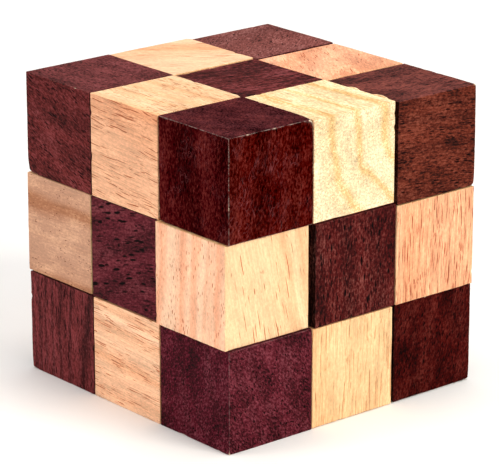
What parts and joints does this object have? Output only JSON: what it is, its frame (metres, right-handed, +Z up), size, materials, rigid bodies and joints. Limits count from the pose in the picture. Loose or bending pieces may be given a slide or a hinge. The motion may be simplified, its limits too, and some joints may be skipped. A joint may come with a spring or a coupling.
{
  "type": "snake cube puzzle",
  "caption": "Wooden snake puzzle folded into its cube: dark and light drilled blocks on one elastic cord, which lets them pull apart and turn.",
  "frame": {"origin": "on the table, under the middle of the folded cube", "axes": "+X to the right as seen from the front, +Y towards the back and along the cube's longest side, +Z up; the front faces -Y"},
  "size_m": [0.0754, 0.0756, 0.0743],
  "materials": {
    "dark_wood": "satin maroon stain on open-pored hardwood",
    "light_wood": "satin clear finish on pale rubberwood",
    "plug_wood": "sanded end grain of a dowel",
    "cord": "black braided elastic"
  },
  "bodies": {
    "block_01": {"block_01": "dark_wood", "cord_01_02": "cord", "start_knot": "cord", "start_plug": "plug_wood"},
    "block_02": {"block_02": "light_wood", "cord_02_03": "cord"},
    "block_03": {"block_03": "dark_wood", "cord_03_04": "cord"},
    "block_04": {"block_04": "light_wood", "cord_04_05": "cord"},
    "block_05": {"block_05": "dark_wood", "cord_05_06": "cord"},
    "block_06": {"block_06": "light_wood", "cord_06_07": "cord"},
    "block_07": {"block_07": "dark_wood", "cord_07_08": "cord"},
    "block_08": {"block_08": "light_wood", "cord_08_09": "cord"},
    "block_09": {"block_09": "dark_wood"},
    "cord_09_10": {"cord_09_10": "cord"},
    "block_10": {"block_10": "light_wood", "cord_10_11": "cord"},
    "block_11": {"block_11": "dark_wood", "cord_11_12": "cord"},
    "block_12": {"block_12": "light_wood", "cord_12_13": "cord"},
    "block_13": {"block_13": "dark_wood", "cord_13_14": "cord"},
    "block_14": {"block_14": "light_wood", "cord_14_15": "cord"},
    "block_15": {"block_15": "dark_wood", "cord_15_16": "cord"},
    "block_16": {"block_16": "light_wood", "cord_16_17": "cord"},
    "block_17": {"block_17": "dark_wood", "cord_17_18": "cord"},
    "block_18": {"block_18": "light_wood"},
    "cord_18_19": {"cord_18_19": "cord"},
    "block_19": {"block_19": "dark_wood", "cord_19_20": "cord"},
    "block_20": {"block_20": "light_wood", "cord_20_21": "cord"},
    "block_21": {"block_21": "dark_wood", "cord_21_22": "cord"},
    "block_22": {"block_22": "light_wood", "cord_22_23": "cord"},
    "block_23": {"block_23": "dark_wood", "cord_23_24": "cord"},
    "block_24": {"block_24": "light_wood", "cord_24_25": "cord"},
    "block_25": {"block_25": "dark_wood", "cord_25_26": "cord"},
    "block_26": {"block_26": "light_wood", "cord_26_27": "cord"},
    "block_27": {"block_27": "dark_wood", "end_knot": "cord", "end_plug": "plug_wood"}
  },
  "joints": [
    {"name": "pull_01_02", "type": "slide", "parent": "block_01", "child": "block_02", "axis": [1, 0, 0], "range_m": [0, 0.008], "stiffness_N_per_m": 120, "springref_m": -0.03},
    {"name": "pull_02_03", "type": "slide", "parent": "block_02", "child": "block_03", "axis": [1, 0, 0], "range_m": [0, 0.008], "stiffness_N_per_m": 120, "springref_m": -0.03},
    {"name": "pull_03_04", "type": "slide", "parent": "block_03", "child": "block_04", "axis": [0, 0, 1], "range_m": [0, 0.008], "stiffness_N_per_m": 120, "springref_m": -0.03},
    {"name": "pull_04_05", "type": "slide", "parent": "block_04", "child": "block_05", "axis": [-1, 0, 0], "range_m": [0, 0.008], "stiffness_N_per_m": 120, "springref_m": -0.03},
    {"name": "pull_05_06", "type": "slide", "parent": "block_05", "child": "block_06", "axis": [-1, 0, 0], "range_m": [0, 0.008], "stiffness_N_per_m": 120, "springref_m": -0.03},
    {"name": "pull_06_07", "type": "slide", "parent": "block_06", "child": "block_07", "axis": [0, 0, 1], "range_m": [0, 0.008], "stiffness_N_per_m": 120, "springref_m": -0.03},
    {"name": "pull_07_08", "type": "slide", "parent": "block_07", "child": "block_08", "axis": [1, 0, 0], "range_m": [0, 0.008], "stiffness_N_per_m": 120, "springref_m": -0.03},
    {"name": "pull_08_09", "type": "slide", "parent": "block_08", "child": "block_09", "axis": [1, 0, 0], "range_m": [0, 0.008], "stiffness_N_per_m": 120, "springref_m": -0.03},
    {"name": "pull_09_10", "type": "slide", "parent": "block_09", "child": "cord_09_10", "axis": [0, 1, 0], "range_m": [0, 0.008], "stiffness_N_per_m": 120, "springref_m": -0.03},
    {"name": "turn_09_10", "type": "hinge", "parent": "cord_09_10", "child": "block_10", "pos_m": [0.02513, -0.01247, 0.06195], "axis": [0, 1, 0], "continuous": true},
    {"name": "pull_10_11", "type": "slide", "parent": "block_10", "child": "block_11", "axis": [-1, 0, 0], "range_m": [0, 0.008], "stiffness_N_per_m": 120, "springref_m": -0.03},
    {"name": "pull_11_12", "type": "slide", "parent": "block_11", "child": "block_12", "axis": [-1, 0, 0], "range_m": [0, 0.008], "stiffness_N_per_m": 120, "springref_m": -0.03},
    {"name": "pull_12_13", "type": "slide", "parent": "block_12", "child": "block_13", "axis": [0, 0, -1], "range_m": [0, 0.008], "stiffness_N_per_m": 120, "springref_m": -0.03},
    {"name": "pull_13_14", "type": "slide", "parent": "block_13", "child": "block_14", "axis": [1, 0, 0], "range_m": [0, 0.008], "stiffness_N_per_m": 120, "springref_m": -0.03},
    {"name": "pull_14_15", "type": "slide", "parent": "block_14", "child": "block_15", "axis": [1, 0, 0], "range_m": [0, 0.008], "stiffness_N_per_m": 120, "springref_m": -0.03},
    {"name": "pull_15_16", "type": "slide", "parent": "block_15", "child": "block_16", "axis": [0, 0, -1], "range_m": [0, 0.008], "stiffness_N_per_m": 120, "springref_m": -0.03},
    {"name": "pull_16_17", "type": "slide", "parent": "block_16", "child": "block_17", "axis": [-1, 0, 0], "range_m": [0, 0.008], "stiffness_N_per_m": 120, "springref_m": -0.03},
    {"name": "pull_17_18", "type": "slide", "parent": "block_17", "child": "block_18", "axis": [-1, 0, 0], "range_m": [0, 0.008], "stiffness_N_per_m": 120, "springref_m": -0.03},
    {"name": "pull_18_19", "type": "slide", "parent": "block_18", "child": "cord_18_19", "axis": [0, 1, 0], "range_m": [0, 0.008], "stiffness_N_per_m": 120, "springref_m": -0.03},
    {"name": "turn_18_19", "type": "hinge", "parent": "cord_18_19", "child": "block_19", "pos_m": [-0.02488, 0.01307, 0.01235], "axis": [0, -1, 0], "continuous": true},
    {"name": "pull_19_20", "type": "slide", "parent": "block_19", "child": "block_20", "axis": [1, 0, 0], "range_m": [0, 0.008], "stiffness_N_per_m": 120, "springref_m": -0.03},
    {"name": "pull_20_21", "type": "slide", "parent": "block_20", "child": "block_21", "axis": [1, 0, 0], "range_m": [0, 0.008], "stiffness_N_per_m": 120, "springref_m": -0.03},
    {"name": "pull_21_22", "type": "slide", "parent": "block_21", "child": "block_22", "axis": [0, 0, 1], "range_m": [0, 0.008], "stiffness_N_per_m": 120, "springref_m": -0.03},
    {"name": "pull_22_23", "type": "slide", "parent": "block_22", "child": "block_23", "axis": [-1, 0, 0], "range_m": [0, 0.008], "stiffness_N_per_m": 120, "springref_m": -0.03},
    {"name": "pull_23_24", "type": "slide", "parent": "block_23", "child": "block_24", "axis": [-1, 0, 0], "range_m": [0, 0.008], "stiffness_N_per_m": 120, "springref_m": -0.03},
    {"name": "pull_24_25", "type": "slide", "parent": "block_24", "child": "block_25", "axis": [0, 0, 1], "range_m": [0, 0.008], "stiffness_N_per_m": 120, "springref_m": -0.03},
    {"name": "pull_25_26", "type": "slide", "parent": "block_25", "child": "block_26", "axis": [1, 0, 0], "range_m": [0, 0.008], "stiffness_N_per_m": 120, "springref_m": -0.03},
    {"name": "pull_26_27", "type": "slide", "parent": "block_26", "child": "block_27", "axis": [1, 0, 0], "range_m": [0, 0.008], "stiffness_N_per_m": 120, "springref_m": -0.03}
  ]
}
